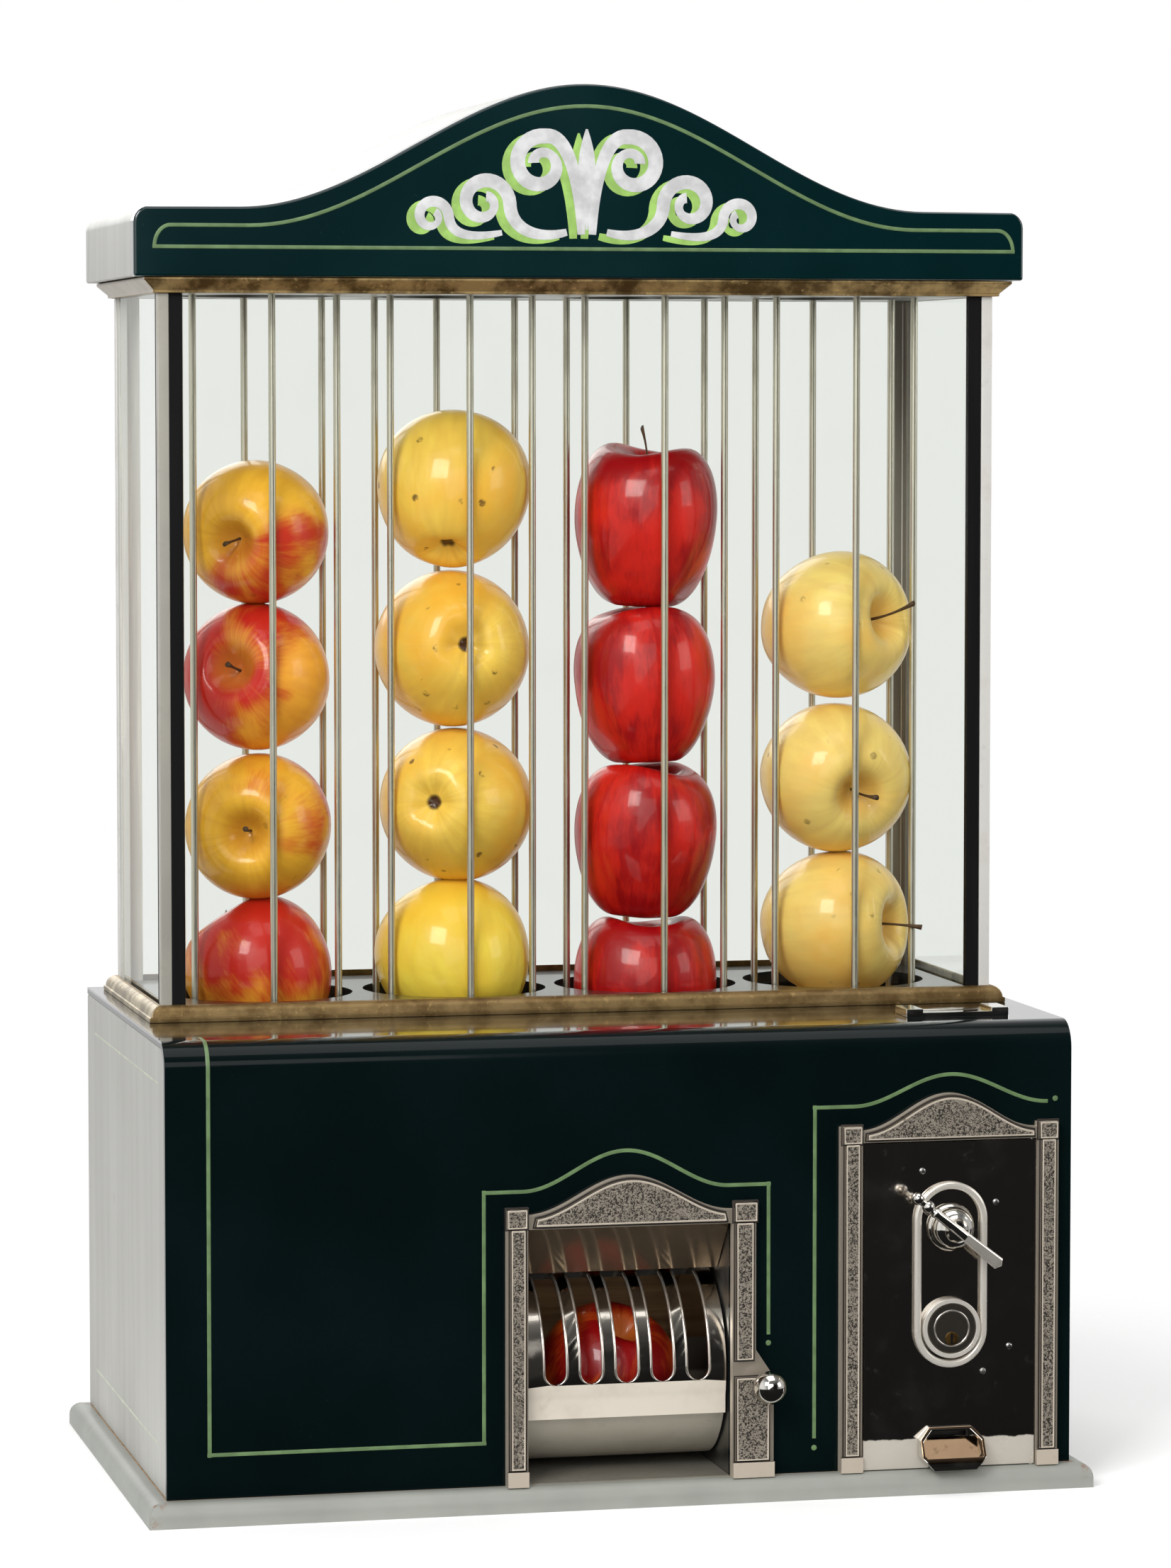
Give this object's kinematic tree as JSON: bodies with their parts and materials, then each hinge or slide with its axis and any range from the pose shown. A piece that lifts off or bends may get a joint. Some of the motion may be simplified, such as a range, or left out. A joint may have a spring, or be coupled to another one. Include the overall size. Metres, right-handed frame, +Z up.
{
  "type": "countertop vending machine",
  "caption": "Counter vending machine: glazed case with rod-guided fruit columns, hinged bell canopy, turning delivery barrel with pull knob, and a coin door with handle and lock.",
  "frame": {"origin": "centre of the base's resting face", "axes": "+Z up, -Y towards the customer, +X to the customer's right"},
  "size_m": [0.417, 0.266, 0.6137],
  "materials": {
    "green_enamel": "deep gloss enamel",
    "grey_paint": "satin paint on board",
    "moulding_paint": "satin paint, chipped at the mitres",
    "gilt": "aged gilt moulding",
    "post_nickel": "satin nickel",
    "stippled_nickel": "cast and stippled nickel",
    "chrome": "polished",
    "mirror_plate": "mirror polished, lightly scuffed",
    "tray_metal": "satin",
    "rod_metal": "dull nickel",
    "glass": "clear",
    "black_rubber": "matt",
    "floor_black": "satin black",
    "pine": "bare board",
    "steel": "plain",
    "apple_yellow": "waxy skin",
    "apple_red": "waxy skin"
  },
  "bodies": {
    "cabinet": {"base_board": "pine", "base_moulding": "moulding_paint", "side_panel_left": "grey_paint", "side_panel_right": "grey_paint", "front_panel": "green_enamel", "back_panel": "grey_paint", "magazine_deck": "pine", "case_floor": "floor_black", "case_moulding": "gilt", "case_posts": "post_nickel", "glazing_strips": "black_rubber", "front_glass": "glass", "left_glass": "glass", "right_glass": "glass", "rear_glass": "glass", "column_rods_1": "rod_metal", "column_rods_2": "rod_metal", "column_rods_3": "rod_metal", "column_rods_4": "rod_metal", "loading_plate": "steel", "cornice": "gilt", "hinge_lower": "steel", "hinge_pin": "steel", "hopper_wall": "pine", "feed_ramp_left": "steel", "feed_ramp_right": "steel", "feed_chute": "steel", "delivery_frame": "stippled_nickel", "delivery_hood": "chrome", "delivery_tray": "tray_metal", "cheek_left": "steel", "cheek_right": "steel", "rack_guide": "steel", "return_spring": "steel", "coin_frame": "stippled_nickel", "coin_slot_plate": "chrome", "coin_chute": "steel", "cash_box": "steel", "apples_1_and_2": "apple_yellow", "apples_3_and_4": "apple_red", "barrel_apple": "apple_red"},
    "canopy": {"hinge_upper": "steel", "sign_board": "green_enamel", "canopy_rear_board": "grey_paint", "canopy_roof": "grey_paint"},
    "barrel": {"barrel": "chrome", "barrel_shafts": "steel", "barrel_pinion": "steel"},
    "knob": {"rack": "steel", "pull_knob": "chrome"},
    "coin_door": {"coin_door": "mirror_plate", "lock_escutcheon": "chrome", "coin_cup": "chrome", "door_screws": "steel", "lock_body": "chrome"},
    "handle": {"turn_handle": "chrome", "coin_wheel": "steel"},
    "lock": {"lock_plug": "steel", "lock_cam": "steel"}
  },
  "joints": [
    {"name": "canopy_hinge", "type": "hinge", "parent": "cabinet", "child": "canopy", "pos_m": [0, 0.11075, 0.5287], "axis": [-1, 0, 0], "range_deg": [0, 95]},
    {"name": "barrel_turn", "type": "hinge", "parent": "cabinet", "child": "barrel", "pos_m": [0, -0.0735, 0.056], "axis": [1, 0, 0], "range_deg": [0, 100], "stiffness_Nm_per_rad": 0.25, "springref_deg": -51.57},
    {"name": "knob_pull", "type": "slide", "parent": "cabinet", "child": "knob", "axis": [0, -1, 0], "range_m": [0, 0.01575], "deforming": ["return_spring"]},
    {"name": "coin_door_hinge", "type": "hinge", "parent": "cabinet", "child": "coin_door", "pos_m": [0.1813, -0.12025, 0.082], "axis": [0, 0, 1], "range_deg": [0, 100]},
    {"name": "handle_turn", "type": "hinge", "parent": "coin_door", "child": "handle", "pos_m": [0.1438, -0.12025, 0.1165], "axis": [0, 1, 0], "range_deg": [0, 90], "stiffness_Nm_per_rad": 0.05, "springref_deg": -22.92},
    {"name": "lock_turn", "type": "hinge", "parent": "coin_door", "child": "lock", "pos_m": [0.1438, -0.12025, 0.0725], "axis": [0, 1, 0], "range_deg": [0, 90]}
  ],
  "couplings": [
    {"joint": "knob_pull", "follows": "barrel_turn", "m_per_rad": 0.009}
  ]
}
